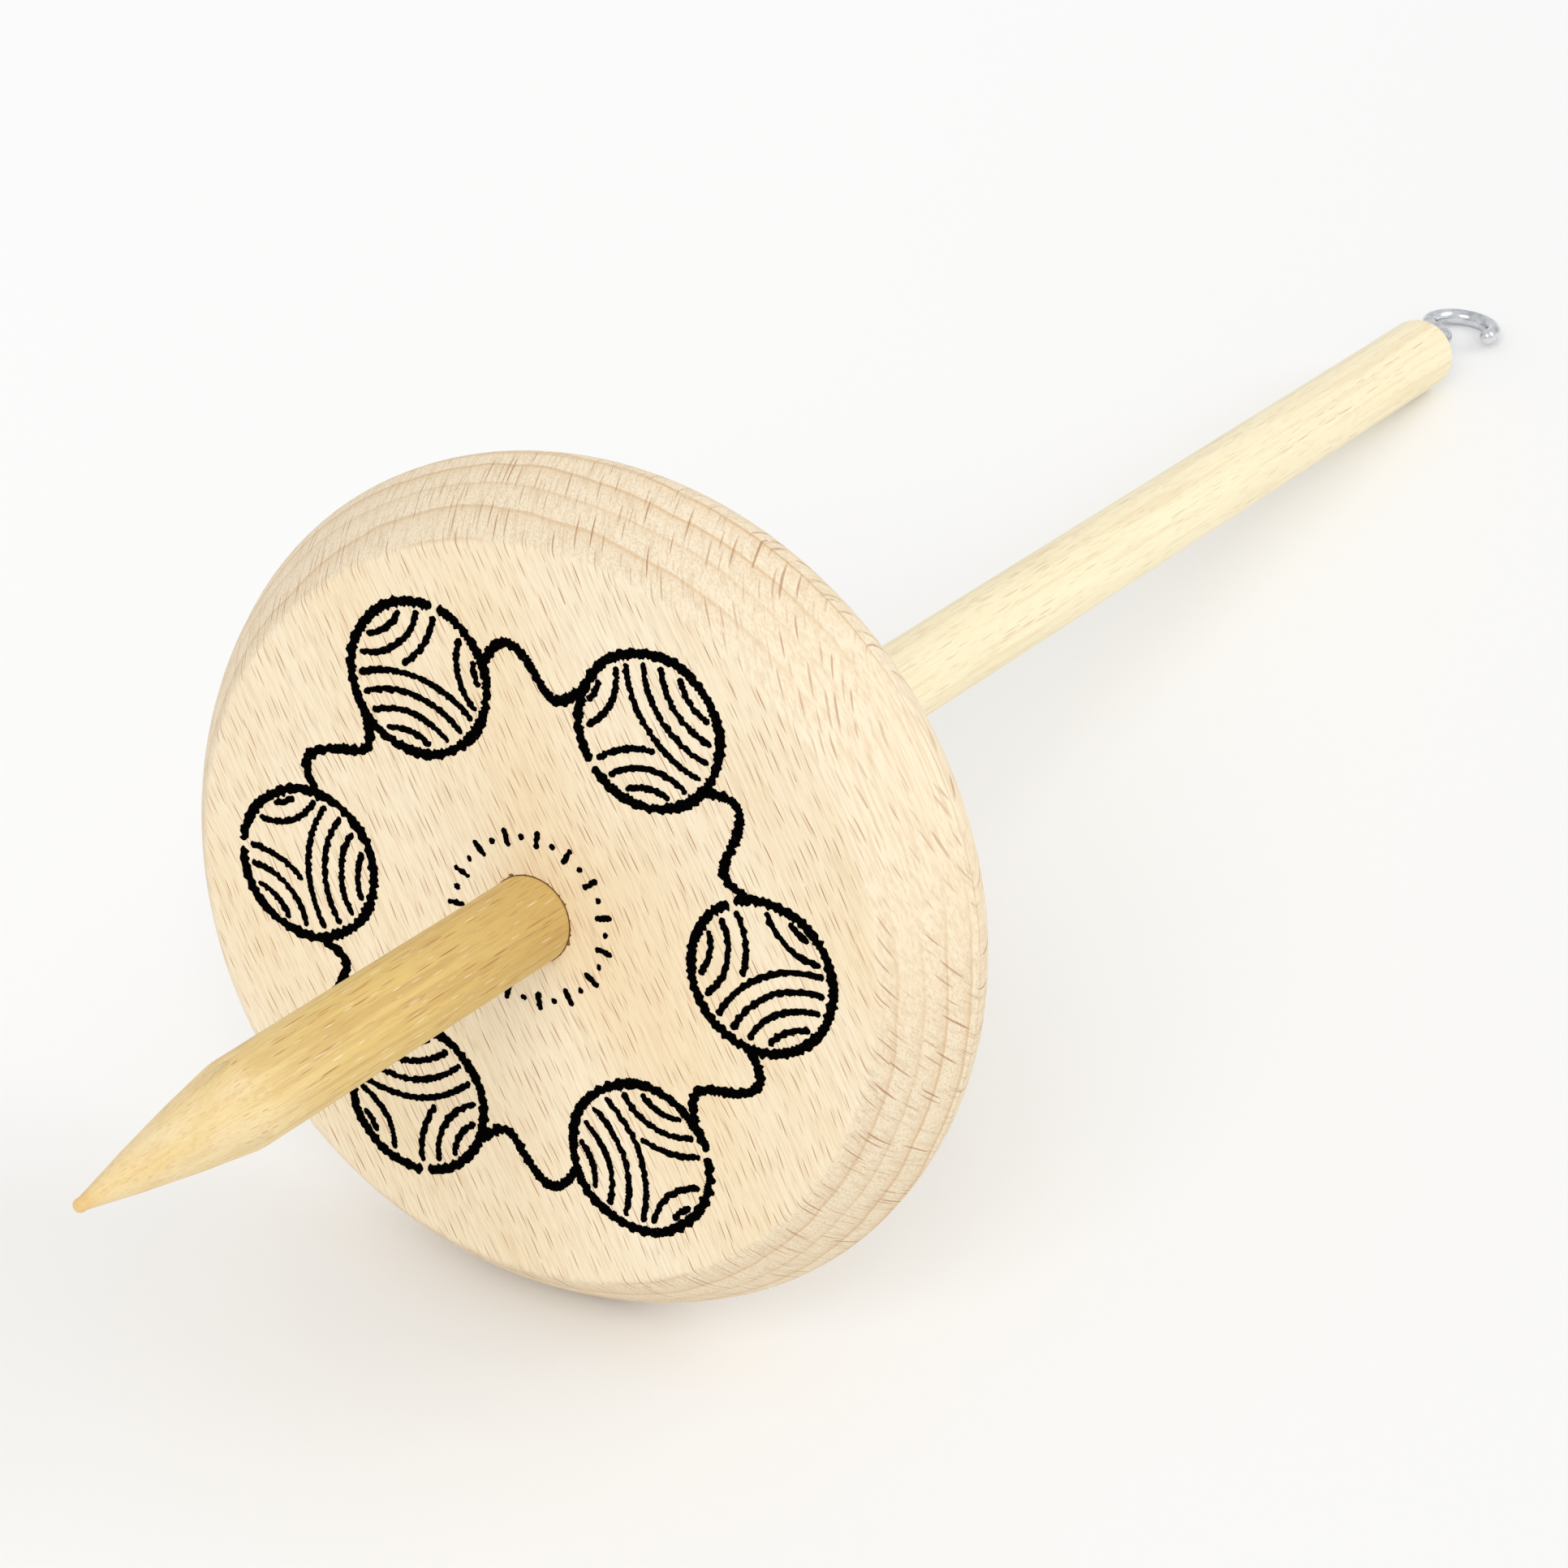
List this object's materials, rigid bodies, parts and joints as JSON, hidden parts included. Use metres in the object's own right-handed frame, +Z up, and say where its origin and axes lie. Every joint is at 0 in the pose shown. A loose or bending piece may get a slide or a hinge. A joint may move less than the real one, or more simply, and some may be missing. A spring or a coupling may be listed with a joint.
{
  "type": "drop spindle",
  "caption": "Wooden drop spindle with a round disc whorl near the pointed lower end of a dowel shaft and an open wire hook in the upper end.",
  "frame": {"origin": "centre of the bounding box's floor rectangle: the spindle lies on z = 0, on the back of the whorl's rim and on the upper end of the shaft", "axes": "+X runs along the floor under the shaft, from the pointed end towards the hook; +Z is up; the shaft's axis dips 10.8 degrees towards +X; the hook's loop lies across it, near level"},
  "size_m": [0.3394, 0.098, 0.0964],
  "materials": {
    "whorl": "sanded, unfinished beech",
    "shaft": "sanded, waxed light hardwood",
    "hook": "bright plated steel wire",
    "print_ink": "matt black stamp ink on the whorl's lower face"
  },
  "bodies": {
    "root": {"whorl": "whorl", "shaft": "shaft", "hook": "hook"}
  },
  "joints": []
}
